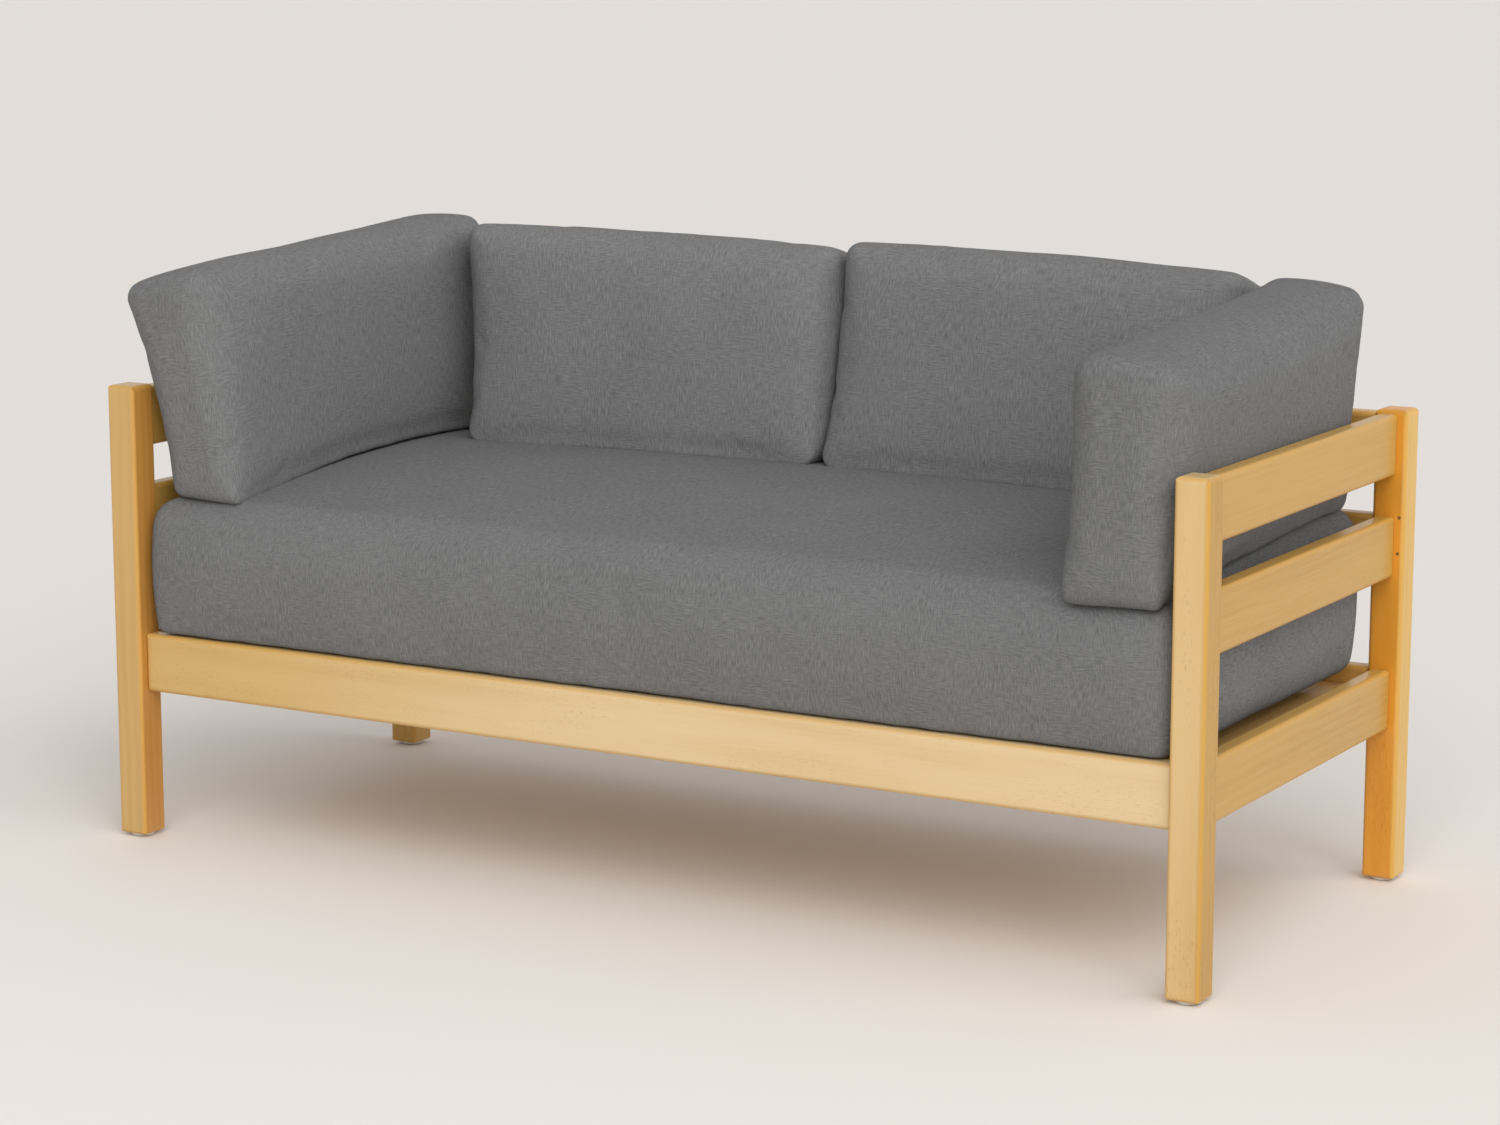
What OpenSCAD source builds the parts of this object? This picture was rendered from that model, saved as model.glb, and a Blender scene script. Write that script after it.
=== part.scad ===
// Two-seat sofa: a square-post beech frame with three rails in each end and in
// the back, a slatted seat, and five loose boxed cushions.
// Millimetres, +Z up, front towards -Y. The origin is on the floor, under the middle.

/* [Overall] */
// Width over the outer faces of the posts
sofa_width = 1600; // [1400:10:2200]
// Depth over the outer faces of the posts
sofa_depth = 680; // [640:5:800]
// Height of the post tops above the floor
post_top = 623; // [600:1:700]

/* [Posts] */
// Side of a square post
post_size = 44; // [40:1:60]
// Rounding of the upright edges of a post
post_arris = 5; // [2:0.5:9]
// Rounding of the edges of a post's top
post_top_round = 8; // [3:0.5:10]
// Chamfer round the foot of a post
foot_chamfer = 3; // [1:0.5:5]

/* [Rails] */
// Height of every rail
rail_height = 80; // [70:1:85]
// Thickness of every rail
rail_thickness = 27; // [24:1:30]
// How far a rail's outer face lies behind the posts' outer faces
rail_setback = 13; // [8:1:15]
// Rounding of a rail's long edges
rail_round = 7; // [3:0.5:9]
// Easing round a rail's ends, where they meet the posts
rail_end_round = 4; // [1:0.5:6]
// Drop from a post's top to the top rail
top_rail_drop = 5; // [0:1:30]
// Height of the middle rail's top edge above the floor
middle_rail_top = 485; // [460:1:500]
// Height of the seat rails' top edge above the floor
seat_rail_top = 284; // [260:1:310]

/* [Slatted seat] */
// How far the slats' top lies below the seat rails' top
deck_drop = 25; // [15:1:30]
// Number of slats
slat_count = 13; // [10:1:14]
// Width of a slat
slat_width = 80; // [60:1:90]
// Thickness of a slat
slat_thickness = 15; // [12:1:18]
// Height of the cleats that carry the slats
cleat_height = 30; // [24:1:34]
// Thickness of the cleats
cleat_thickness = 22; // [18:1:30]
// Gap between the slats' ends and the rails
slat_play = 1; // [0.5:0.5:4]

/* [Dowels and screws] */
// Diameter of a rail dowel
dowel_diameter = 10; // [8:1:12]
// Depth of a dowel in a rail's end
dowel_in_rail = 30; // [20:1:40]
// Depth of a dowel in a post
dowel_in_post = 24; // [18:1:28]
// Distance from a rail's edge to its nearest dowel
dowel_margin = 12; // [10:1:14]
// Height between the dowels of the end rails and those of the long rails in a post
dowel_stagger = 16; // [14:1:18]
// Glue gap round a dowel
glue_gap = 0.05; // [0.03:0.01:0.1]
// Diameter of a screw's shank
screw_diameter = 4; // [3:0.5:5]
// Diameter of a screw's head
screw_head = 8; // [7:0.5:10]
// How far a slat screw goes into its cleat
slat_screw_bite = 17; // [12:1:20]
// How far a cleat screw goes into its rail
cleat_screw_bite = 18; // [12:1:20]
// Number of screws in each cleat
cleat_screws = 5; // [3:1:7]

/* [Glides] */
// Diameter of a glide
glide_diameter = 32; // [24:1:38]
// Height of a glide under its post
glide_height = 5; // [4:0.5:8]
// Rounding of a glide's lower edge
glide_round = 2; // [1:0.5:3]
// Diameter of a glide nail's shank
nail_diameter = 3; // [2:0.5:4]
// Length of a glide nail's shank in the post
nail_length = 18; // [12:1:24]

/* [Seat cushion] */
// Height of its front seam above the slats
seat_front_rise = 209; // [190:1:225]
// Height of its rear seam above the slats
seat_rear_rise = 243; // [225:1:260]
// Crown of its top, at mid-length
seat_crown = 26; // [12:1:36]
// Crown of its top, at the ends
seat_end_crown = 8; // [4:1:26]
// Rounding of its top edge
seat_top_edge = 38; // [15:1:50]
// Width over which its underside rises to the lower seam
seat_roll = 60; // [40:5:90]
// Bulge of its border
seat_bulge = 8; // [4:1:12]
// Rounding of its corners, seen from above
seat_corner = 22; // [15:1:50]
// How far the sides draw in between the corners
seat_draw = 4; // [1:1:8]
// Gap between its ends and the posts
seat_play = 2; // [2:1:8]
// How far its front lies behind the posts' front faces
seat_front_inset = 5; // [4:1:12]
// Gap between its back and the back rails
seat_back_play = 14; // [8:1:30]

/* [Arm and back cushions] */
// Thickness from seam to seam
pad_thickness = 135; // [90:1:150]
// Height of a back cushion, measured up its lean
back_pad_height = 307; // [270:1:330]
// Height of the left arm cushion, measured up its lean
left_arm_height = 294; // [250:1:320]
// Height of the right arm cushion, measured up its lean
right_arm_height = 271; // [250:1:320]
// Length of the left arm cushion from seam to seam
left_arm_length = 597; // [560:1:600]
// Length of the right arm cushion from seam to seam
right_arm_length = 583; // [560:1:600]
// Crown of each large face
pad_crown = 12; // [6:1:14]
// Bulge of the borders
pad_bulge = 5; // [3:1:8]
// Rounding of the edges at the top and the upright sides
pad_top_edge = 36; // [12:1:45]
// Rounding of the edges at the foot
pad_foot_edge = 12; // [6:1:30]
// Rounding of the corners, seen square to the large face
pad_corner = 26; // [18:1:36]
// How far the sides draw in between the corners
pad_draw = 4; // [1:1:7]
// Outward lean of the left arm cushion's front end, in degrees
left_arm_front_lean = 12.5; // [6:0.5:15]
// Outward lean of the left arm cushion's rear end, in degrees
left_arm_rear_lean = 2.5; // [0.5:0.5:10]
// How far the left arm cushion's front end leans forward, for each mm up
left_arm_front_rake = 0.08; // [0:0.01:0.1]
// How far the left arm cushion's rear end leans back, for each mm up
left_arm_rear_rake = 0.04; // [0:0.01:0.05]
// Outward lean of the right arm cushion, in degrees
right_arm_lean = 4.5; // [2:0.5:10]
// Backward lean of the back cushions, in degrees
back_lean = 17; // [12:0.5:18]
// How much the left arm cushion's top rises towards the rear
left_arm_rise = 74; // [0:1:80]
// How much the right arm cushion's top rises towards the rear
right_arm_rise = 40; // [0:1:80]
// How much the left back cushion's top falls towards the right
left_back_fall = 6; // [0:1:20]
// How much the right back cushion's top falls towards the right
right_back_fall = 14; // [0:1:20]
// How far the left arm cushion's foot lies behind the posts' front faces
left_arm_inset = 27; // [0:1:60]
// How far the right arm cushion's foot lies behind the posts' front faces
right_arm_inset = 0; // [0:1:60]
// Share of an arm cushion's lean that the end of the next back cushion follows
end_follow = 0.9; // [0:0.1:1]
// Gap between the left arm cushion and the left back cushion, at the foot
left_back_play = 12; // [3:1:50]
// How far right of the middle the back cushions meet
back_meeting = 20; // [-40:5:40]
// Gap between neighbouring cushions
pad_play = 6; // [3:1:12]
// Gap between the seat cushion and the wood that it lies on
rest_gap = 0.5; // [0.4:0.1:0.6]
// Gap between a standing cushion and the rail that it leans on
lean_gap = 0.8; // [0.5:0.1:0.9]
// Gap between a standing cushion and the seat cushion's crowned top
pad_gap = 0.8; // [0.7:0.1:0.9]
// Cover and wadding round the foam, at the large faces
wadding = 9; // [6:1:14]
// Cover and wadding round the foam, at the borders
border_wadding = 22; // [16:1:30]

/* [Hidden] */
$fn = 48;
slack = 0.5;

beech = "burlywood";
fabric = "dimgray";
foam = "lightyellow";
plastic = "whitesmoke";
metal = "silver";

inner_offset = rail_setback + rail_thickness;
rail_centre = rail_setback + rail_thickness / 2;
top_rail_top = post_top - top_rail_drop;
rail_tops = [top_rail_top, middle_rail_top, seat_rail_top];
long_rail_length = sofa_width - 2 * post_size;
end_rail_length = sofa_depth - 2 * post_size;

deck_top = seat_rail_top - deck_drop;
slat_bottom = deck_top - slat_thickness;
cleat_bottom = slat_bottom - cleat_height;
cleat_length = long_rail_length - 2 * slat_play;
slat_length = sofa_depth - 2 * (inner_offset + slat_play);
slat_pitch = (cleat_length - slat_width) / (slat_count - 1);
slat_round = 3;

dowel_length = dowel_in_rail + dowel_in_post;
dowel_chamfer = 1;
bore_diameter = dowel_diameter + 2 * glue_gap;
head_depth = (screw_head - screw_diameter) / 2;
screw_point = 3;
nail_head_diameter = 7;
nail_head_height = 1.2;
nail_recess = 2.2;
nail_point = 2;

// The seat cushion between its seams
seat_length = long_rail_length - 2 * (seat_play + seat_bulge);
seat_front = seat_front_inset + seat_bulge - sofa_depth / 2;
seat_back = sofa_depth / 2 - inner_offset - seat_back_play - seat_bulge;
seat_width = seat_back - seat_front;
seat_middle = (seat_back + seat_front) / 2;
seat_insets = [for (share = [0, 0.04, 0.09, 0.2, 0.43, 0.78]) share * seat_width / 2];
seat_steps = [26, 4, 3];
seat_lip = 8;
seat_levels = [0.25, 0.6, 0.9];

// The arm and back cushions
pad_edges = [pad_foot_edge, pad_top_edge];
pad_shares = [0, 0.07, 0.18, 0.42, 0.76];
pad_steps = [10, 3, 3];
border_levels = [0.09, 0.28, 0.5, 0.72, 0.91];
foot_softness = 0.25;
crown_power = 2.4;
least_radius = 1;
core_gap = 0.4;
core_stations = 6;

SLATS = [for (i = [1:slat_count]) str("slat_", i)];

// Heights of the two dowels in a rail, by the rail's top edge.
// Those of the end rails and of the long rails pass each other inside a post.
function end_dowel_heights(top) =
    [top - rail_height + dowel_margin, top - dowel_margin - dowel_stagger];
function long_dowel_heights(top) =
    [top - rail_height + dowel_margin + dowel_stagger, top - dowel_margin];

function slat_place(i) = -cleat_length / 2 + slat_width / 2 + i * slat_pitch;
// A cleat screw stands under the gap between two slats
function cleat_screw_place(i) =
    slat_place(floor(i * (slat_count - 2) / (cleat_screws - 1))) + slat_pitch / 2;

// Puts what is drawn from an outer corner of the sofa inwards at one of its four corners
module at_corner(right, rear) {
    translate([(right ? 1 : -1) * sofa_width / 2, (rear ? 1 : -1) * sofa_depth / 2, 0])
    mirror([right ? 1 : 0, 0, 0])
    mirror([0, rear ? 1 : 0, 0])
    children();
}

module rounded_rectangle(width, height, radius) {
    translate([radius, 0]) square([width - 2 * radius, height]);
    translate([0, radius]) square([width, height - 2 * radius]);
    for (x = [radius, width - radius], y = [radius, height - radius])
        translate([x, y]) circle(r = radius);
}

// Elevation of a post: chamfered at the foot, rounded at the top
module post_elevation() {
    height = post_top - glide_height;
    polygon([
        [foot_chamfer, 0], [post_size - foot_chamfer, 0], [post_size, foot_chamfer],
        [post_size, height - post_top_round], [0, height - post_top_round], [0, foot_chamfer]
    ]);
    translate([post_top_round, height - 2 * post_top_round])
        square([post_size - 2 * post_top_round, 2 * post_top_round]);
    for (x = [post_top_round, post_size - post_top_round])
        translate([x, height - post_top_round]) circle(r = post_top_round);
}

module post_blank() {
    intersection() {
        translate([0, 0, glide_height])
            linear_extrude(post_top - glide_height)
            rounded_rectangle(post_size, post_size, post_arris);
        translate([0, post_size, glide_height])
            rotate([90, 0, 0])
            linear_extrude(post_size)
            post_elevation();
        translate([0, 0, glide_height])
            rotate([90, 0, 90])
            linear_extrude(post_size)
            post_elevation();
    }
}

// A post with the dowel bores of the end rails and of the long rails that it takes
module post(right, rear, long_tops) {
    color(beech)
    at_corner(right, rear)
    difference() {
        post_blank();
        for (top = rail_tops, height = end_dowel_heights(top))
            translate([rail_centre, post_size + slack, height])
            rotate([90, 0, 0])
            cylinder(d = bore_diameter, h = dowel_in_post + 2 * slack);
        for (top = long_tops, height = long_dowel_heights(top))
            translate([post_size + slack, rail_centre, height])
            rotate([0, -90, 0])
            cylinder(d = bore_diameter, h = dowel_in_post + 2 * slack);
        translate([post_size / 2, post_size / 2, glide_height - slack])
            cylinder(d = nail_diameter + 2 * glue_gap, h = nail_length + 2 * slack);
    }
}

// A rail along +X with its outer face at y = 0, bored at both ends for its dowels
module rail(length, dowel_heights) {
    color(beech)
    difference() {
        intersection() {
            rotate([90, 0, 90])
                linear_extrude(length)
                rounded_rectangle(rail_thickness, rail_height, rail_round);
            linear_extrude(rail_height)
                rounded_rectangle(length, rail_thickness, rail_end_round);
            translate([0, rail_thickness, 0])
                rotate([90, 0, 0])
                linear_extrude(rail_thickness)
                rounded_rectangle(length, rail_height, rail_end_round);
        }
        for (height = dowel_heights) {
            translate([-slack, rail_thickness / 2, height])
                rotate([0, 90, 0])
                cylinder(d = bore_diameter, h = dowel_in_rail + 2 * slack);
            translate([length + slack, rail_thickness / 2, height])
                rotate([0, -90, 0])
                cylinder(d = bore_diameter, h = dowel_in_rail + 2 * slack);
        }
        children();
    }
}

function from_rail_bottom(heights, top) = [for (h = heights) h - top + rail_height];

module end_rail(right, top) {
    at_corner(right, false)
        translate([inner_offset, post_size, top - rail_height])
        rotate([0, 0, 90])
        rail(end_rail_length, from_rail_bottom(end_dowel_heights(top), top));
}

module long_rail(rear, top, pilots) {
    at_corner(false, rear)
        translate([post_size, rail_setback, top - rail_height])
        rail(long_rail_length, from_rail_bottom(long_dowel_heights(top), top)) {
            if (pilots) translate([-post_size, -rail_setback, rail_height - top])
                cleat_screw_bores();
        }
}

// What is drawn from an outer corner, at each cleat screw: its axis runs out to the rail
module at_cleat_screws() {
    for (i = [0:cleat_screws - 1])
        translate([
            sofa_width / 2 + cleat_screw_place(i),
            inner_offset + cleat_thickness,
            cleat_bottom + cleat_height / 2
        ])
        rotate([-90, 0, 0])
        children();
}

module cleat_screw_bores() {
    at_cleat_screws() screw_bore(cleat_thickness + cleat_screw_bite);
}

module at_slat_screw() {
    translate([0, inner_offset + cleat_thickness / 2, deck_top]) children();
}

// A cleat is screwed to its rail, and the slats are screwed down on it
module cleat(rear) {
    color(beech)
    at_corner(false, rear)
    difference() {
        translate([post_size + slat_play, inner_offset, cleat_bottom])
            cube([cleat_length, cleat_thickness, cleat_height]);
        cleat_screw_bores();
        for (i = [0:slat_count - 1])
            translate([sofa_width / 2 + slat_place(i), 0, 0])
            at_slat_screw() screw_bore(slat_thickness + slat_screw_bite);
    }
}

module slat(i) {
    color(beech)
    difference() {
        translate([slat_place(i) - slat_width / 2, slat_length / 2, slat_bottom])
            rotate([90, 0, 0])
            linear_extrude(slat_length)
            rounded_rectangle(slat_width, slat_thickness, slat_round);
        for (rear = [false, true])
            translate([sofa_width / 2 + slat_place(i), 0, 0])
            at_corner(false, rear)
            at_slat_screw() screw_bore(slat_thickness + slat_screw_bite);
    }
}

// A countersunk screw from its head's face downwards, widened by the gap all round
module screw_body(length, gap) {
    rotate_extrude()
    polygon([
        [0, 0], [screw_head / 2 + gap, 0], [screw_diameter / 2 + gap, -head_depth],
        [screw_diameter / 2 + gap, screw_point - length], [0, -length]
    ]);
}

module screw(length) {
    screw_body(length, 0);
}

module screw_bore(length) {
    screw_body(length + slack, glue_gap);
    cylinder(d = screw_head + 2 * glue_gap, h = slack);
}

module dowel() {
    r = dowel_diameter / 2;
    rotate_extrude()
    polygon([
        [0, 0], [r - dowel_chamfer, 0], [r, dowel_chamfer],
        [r, dowel_length - dowel_chamfer], [r - dowel_chamfer, dowel_length], [0, dowel_length]
    ]);
}

module end_dowels(right) {
    color(beech)
    for (rear = [false, true], top = rail_tops, height = end_dowel_heights(top))
        at_corner(right, rear)
        translate([rail_centre, post_size + dowel_in_rail, height])
        rotate([90, 0, 0])
        dowel();
}

module long_dowels(rear, tops) {
    color(beech)
    for (right = [false, true], top = tops, height = long_dowel_heights(top))
        at_corner(right, rear)
        translate([post_size + dowel_in_rail, rail_centre, height])
        rotate([0, -90, 0])
        dowel();
}

module slat_screws() {
    color(metal)
    for (rear = [false, true], i = [0:slat_count - 1])
        translate([slat_place(i) + sofa_width / 2, 0, 0])
        at_corner(false, rear)
        at_slat_screw() screw(slat_thickness + slat_screw_bite);
}

module cleat_screws() {
    color(metal)
    for (rear = [false, true])
        at_corner(false, rear)
        at_cleat_screws() screw(cleat_thickness + cleat_screw_bite);
}

module glide(right, rear) {
    r = glide_diameter / 2;
    color(plastic)
    at_corner(right, rear)
    translate([post_size / 2, post_size / 2, 0])
    difference() {
        rotate_extrude() {
            square([r - glide_round, glide_height]);
            translate([0, glide_round]) square([r, glide_height - glide_round]);
            translate([r - glide_round, glide_round]) circle(r = glide_round);
        }
        translate([0, 0, -slack])
            cylinder(d = nail_head_diameter + 1, h = nail_recess + slack);
        cylinder(d = nail_diameter + 2 * glue_gap, h = glide_height + slack);
    }
}

// A nail through each glide: its head lies in the glide's recess
module glide_nails() {
    top = glide_height + nail_length;
    low = nail_recess - nail_head_height;
    color(metal)
    for (right = [false, true], rear = [false, true])
        at_corner(right, rear)
        translate([post_size / 2, post_size / 2, 0])
        rotate_extrude()
        polygon([
            [0, low], [nail_head_diameter / 2, low], [nail_head_diameter / 2, nail_recess],
            [nail_diameter / 2, nail_recess], [nail_diameter / 2, top - nail_point], [0, top]
        ]);
}

// Cushions. Each is a closed form of rings, from the middle of one large face over
// its border to the middle of the other. A ring is a rounded rectangle whose sides
// draw in between the corners.

function fall(t) = max(0, 1 - t * t);
function smooth(t) = t <= 0 ? 0 : t >= 1 ? 1 : t * t * (3 - 2 * t);
function mix(a, b, t) = a + (b - a) * t;

// Half a ring, from the middle of its left side along the front; the other half is
// the same turned by 180 degrees. steps: pieces of the front, of half an end, of a corner
function half_ring(l, w, r, steps) = concat(
    [for (i = [0:steps[1] - 1]) [-l / 2, (r - w / 2) * i / steps[1]]],
    [for (i = [0:steps[2] - 1]) let (a = 180 + 90 * i / steps[2])
        [r - l / 2 + r * cos(a), r - w / 2 + r * sin(a)]],
    [for (i = [0:steps[0] - 1]) [r - l / 2 + (l - 2 * r) * i / steps[0], -w / 2]],
    [for (i = [0:steps[2] - 1]) let (a = 270 + 90 * i / steps[2])
        [l / 2 - r + r * cos(a), r - w / 2 + r * sin(a)]],
    [for (i = [0:steps[1] - 1]) [l / 2, (r - w / 2) * (1 - i / steps[1])]]
);

// draws: how far the ends, the front and the back draw in
function ring(l, w, r, steps, draws) =
    let (half = half_ring(l, w, r, steps), whole = concat(half, -half))
    [for (p = whole) [
        p.x - sign(p.x) * draws[0] * fall(p.y / (w / 2 - r)),
        p.y + (p.y < 0 ? draws[1] : -draws[2]) * fall(p.x / (l / 2 - r))
    ]];

// A rounded edge between a face and a border. What lay the distance gap from the edge
// on one of them is moved along it, and drops square to it.
function edge_reach(gap, r) = norm([r, r - gap]);
function edge_inset(gap, r) = gap >= r ? gap : r - (r - gap) * r / edge_reach(gap, r);
function edge_drop(gap, r) = gap >= r ? 0 : r - r * r / edge_reach(gap, r);

// A ring that lies the distance d inside the seam
function inset_ring(l, w, r, steps, draws, d) =
    ring(l - 2 * d, w - 2 * d, max(r - d, least_radius), steps, draws * fall(2 * d / w));

// A solid through rings with the same number of points, closed by a strip at each end
module ring_solid(rings) {
    n = len(rings[0]);
    last = (len(rings) - 1) * n;
    half = n / 2;
    bands = [for (k = [0:len(rings) - 2], i = [0:n - 1])
        let (a = k * n + i, b = k * n + (i + 1) % n)
        each [[a, a + n, b], [b, a + n, b + n]]];
    strip = [for (i = [0:half - 1])
        let (a = i, b = i + 1, c = (n - i) % n, d = n - i - 1)
        each concat(a == c ? [] : [[a, b, c]], b == d ? [] : [[c, b, d]])];
    bottom = strip;
    top = [for (f = strip) [last + f[0], last + f[2], last + f[1]]];
    polyhedron(points = [for (r = rings) each r], faces = concat(bands, bottom, top));
}

// Top of the seat cushion: it rises from its front seam to its rear seam, with a crown
// that is a little lower at the ends
function seat_crown_at(x) =
    mix(seat_crown, seat_end_crown, pow(2 * x / seat_length, 4));
function seat_surface(x, y) =
    let (t = (y - seat_front) / seat_width)
    deck_top + mix(seat_front_rise, seat_rear_rise, t) + 4 * seat_crown_at(x) * t * (1 - t);

// Its underside lies on the slats, and its edge on the front rail's top
function seat_edge(x, y) = max(
    smooth(1 - (y + sofa_depth / 2 - inner_offset - seat_lip) / seat_roll),
    smooth(1 - (seat_back - y) / seat_roll),
    smooth(1 - (seat_length / 2 - abs(x)) / seat_roll)
);
function seat_underside(x, y) = deck_top + rest_gap + deck_drop * seat_edge(x, y);

function seat_ring(d) = [for (p =
    inset_ring(seat_length, seat_width, seat_corner, seat_steps, seat_draw * [1, 1, 1], d))
    [p.x, p.y + seat_middle]];

// A ring of its top, whose edge is rounded
function seat_top_ring(d) =
    [for (p = seat_ring(edge_inset(d, seat_top_edge)))
        [p.x, p.y, seat_surface(p.x, p.y) - edge_drop(d, seat_top_edge)]];

function seat_border(level) =
    let (
        seam = seat_ring(0),
        gap = (1 - level) * seat_front_rise,
        bulge = seat_bulge * fall(2 * level - 1),
        out = seat_ring(edge_drop(gap, seat_top_edge) - bulge),
        short = gap - edge_inset(gap, seat_top_edge)
    )
    [for (i = [0:len(seam) - 1]) [
        out[i].x,
        out[i].y,
        mix(seat_underside(seam[i].x, seam[i].y), seat_surface(seam[i].x, seam[i].y), level)
            + short
    ]];

function reversed(list) = [for (i = [len(list) - 1:-1:0]) list[i]];

module seat_form() {
    ring_solid(concat(
        [for (d = reversed(seat_insets))
            [for (p = seat_ring(d)) [p.x, p.y, seat_underside(p.x, p.y)]]],
        [for (level = seat_levels) seat_border(level)],
        [for (d = seat_insets) seat_top_ring(d)]
    ));
}

// Foam inside the seat cushion: it follows the underside's rise at the edge and the
// slope of the top
module seat_core(gap) {
    low = deck_top + rest_gap + wadding - gap;
    high = low + deck_drop;
    front = seat_front + border_wadding - gap;
    back = seat_back - border_wadding + gap;
    side = seat_length / 2 - border_wadding + gap;
    ease = seat_roll + seat_lip + inner_offset - seat_front_inset;
    front_top = deck_top + seat_front_rise - wadding + gap;
    back_top = deck_top + seat_rear_rise - wadding + gap;
    intersection() {
        rotate([90, 0, 90])
            linear_extrude(2 * side, center = true)
            polygon([
                [front, high], [front + ease, low], [back - ease, low], [back, high],
                [back, back_top], [front, front_top]
            ]);
        rotate([90, 0, 0])
            linear_extrude(2 * sofa_depth, center = true)
            polygon([
                [-side, high], [ease - side, low], [side - ease, low], [side, high],
                [side, back_top], [-side, back_top]
            ]);
    }
}

module seat_cushion() {
    color(fabric)
    difference() {
        seat_form();
        seat_core(core_gap);
    }
}

module seat_foam() {
    color(foam) seat_core(0);
}

// Arm and back cushions. Each is described by its turn (90 at the left, -90 at the
// right, 0 at the back), the leans of its two ends, its middle, its length and height
// between seams, the rakes of its two ends (how far they lean along the cushion for
// each mm up) and the rise of its top along the cushion.
function lean_at(pad, u) = mix(pad[1][0], pad[1][1], (u - pad[2]) / pad[3] + 0.5);

// The plane of a cushion's outer seam, measured square to its face from the outer
// corner of the frame: the face leans on the inner top edge of a top rail
function outer_seam(lean) =
    (inner_offset - rail_round) * cos(lean) + (top_rail_top - rail_round) * sin(lean)
    + rail_round + lean_gap + pad_crown;

// From a cushion's own axes, along it, up its face and inwards, to the sofa's
function placed(pad, p) =
    let (
        turn = pad[0],
        lean = lean_at(pad, p.x),
        inwards = outer_seam(lean) + p.z,
        half = (turn == 0 ? sofa_depth : sofa_width) / 2,
        out = half - cos(lean) * inwards + sin(lean) * p.y
    )
    [
        cos(turn) * p.x - sin(turn) * out,
        sin(turn) * p.x + cos(turn) * out,
        sin(lean) * inwards + cos(lean) * p.y
    ];

// How far up its face a point is when it is slid down or up to lie on the seat cushion
function resting(pad, p, steps = 4) =
    let (q = placed(pad, p), rise = seat_surface(q.x, q.y) + pad_gap - q.z)
    steps == 0 ? p.y
    : resting(pad, [p.x, p.y + rise / cos(lean_at(pad, p.x)), p.z], steps - 1);

function pad_foot(pad) = resting(pad, [pad[2], seat_rail_top, pad_thickness]);

// A point of a cushion that stands on y = 0 with its outer seam at z = 0, brought to
// its place. The foot follows the seat cushion, and the top stays straight.
function settled(pad, foot, p) =
    let (
        height = pad[4],
        sag = -pad_bulge * fall(2 * p.z / pad_thickness - 1),
        along = pad[2] + p.x,
        low = resting(pad, [along, foot + sag, p.z]) - foot,
        high = height + pad[6] * p.x / pad[3],
        u = along + p.y * mix(pad[5][0], pad[5][1], p.x / pad[3] + 0.5)
    )
    placed(pad, [u, foot + mix(low, high, (p.y - sag) / (height - sag)), p.z]);

// A ring whose inset and height change from those of a foot edge, which come first in
// each pair, to those of a top edge
function pad_loop(pad, insets, heights) =
    let (loops = [for (d = insets)
        inset_ring(pad[3], pad[4], pad_corner, pad_steps, pad_draw * [1, 0, 1], d)])
    [for (i = [0:len(loops[0]) - 1])
        let (
            low = loops[0][i],
            high = loops[1][i],
            t = smooth(low.y / pad[4] + 0.5 + foot_softness)
        )
        [
            mix(low.x, high.x, t),
            mix(low.y, high.y, t) + pad[4] / 2,
            mix(heights[0], heights[1], t)
        ]];

function pad_face_height(share) = pad_crown * (1 - pow(1 - share, crown_power));
function pad_ring(pad, share, inner) =
    let (
        gap = share * pad[4] / 2,
        rise = [for (edge = pad_edges) pad_face_height(share) - edge_drop(gap, edge)]
    )
    pad_loop(pad, [for (edge = pad_edges) edge_inset(gap, edge)],
        inner ? pad_thickness * [1, 1] + rise : -rise);
function pad_border(pad, level) =
    let (
        gap = pad_thickness * min(level, 1 - level),
        bulge = pad_bulge * fall(2 * level - 1),
        rise = [for (edge = pad_edges) edge_inset(gap, edge)]
    )
    pad_loop(pad, [for (edge = pad_edges) edge_drop(gap, edge) - bulge],
        level > 0.5 ? pad_thickness * [1, 1] - rise : rise);
function pad_rings(pad) = concat(
    [for (s = reversed(pad_shares)) pad_ring(pad, s, false)],
    [for (level = border_levels) pad_border(pad, level)],
    [for (s = pad_shares) pad_ring(pad, s, true)]
);

module pad_form(pad) {
    foot = pad_foot(pad);
    ring_solid([for (r = pad_rings(pad)) [for (p = r) settled(pad, foot, p)]]);
}

// Foam inside such a cushion, by stations along it
module pad_core(pad, gap) {
    foot = pad_foot(pad);
    side = pad[3] / 2 - border_wadding + gap;
    low = border_wadding - gap;
    high = pad[4] - border_wadding + gap;
    outer = wadding - gap;
    inner = pad_thickness - wadding + gap;
    ring_solid([for (i = [0:core_stations])
        let (x = side * (2 * i / core_stations - 1))
        [for (q = [[low, outer], [high, outer], [high, inner], [low, inner]])
            settled(pad, foot, [x, q[0], q[1]])]]);
}

module pad_cover(pad) {
    color(fabric)
    difference() {
        pad_form(pad);
        pad_core(pad, core_gap);
    }
}

module pad_foam(pad) {
    color(foam) pad_core(pad, 0);
}

// Middle of an arm cushion's foot, and where the cushion's inner face is at the foot
function arm_middle(inset, length) = inset + pad_bulge + (length - sofa_depth) / 2;
function arm_inner(lean) =
    (outer_seam(lean) + pad_thickness + pad_crown - sin(lean) * (deck_top + seat_rear_rise))
    / cos(lean);

// The back cushions stand between the arm cushions
left_back_end = arm_inner(left_arm_rear_lean) + left_back_play + pad_bulge - sofa_width / 2;
left_back_start = back_meeting - pad_play / 2 - pad_bulge;
right_back_start = back_meeting + pad_play / 2 + pad_bulge;
right_back_end = sofa_width / 2 - arm_inner(right_arm_lean) - pad_play - pad_bulge;

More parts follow.
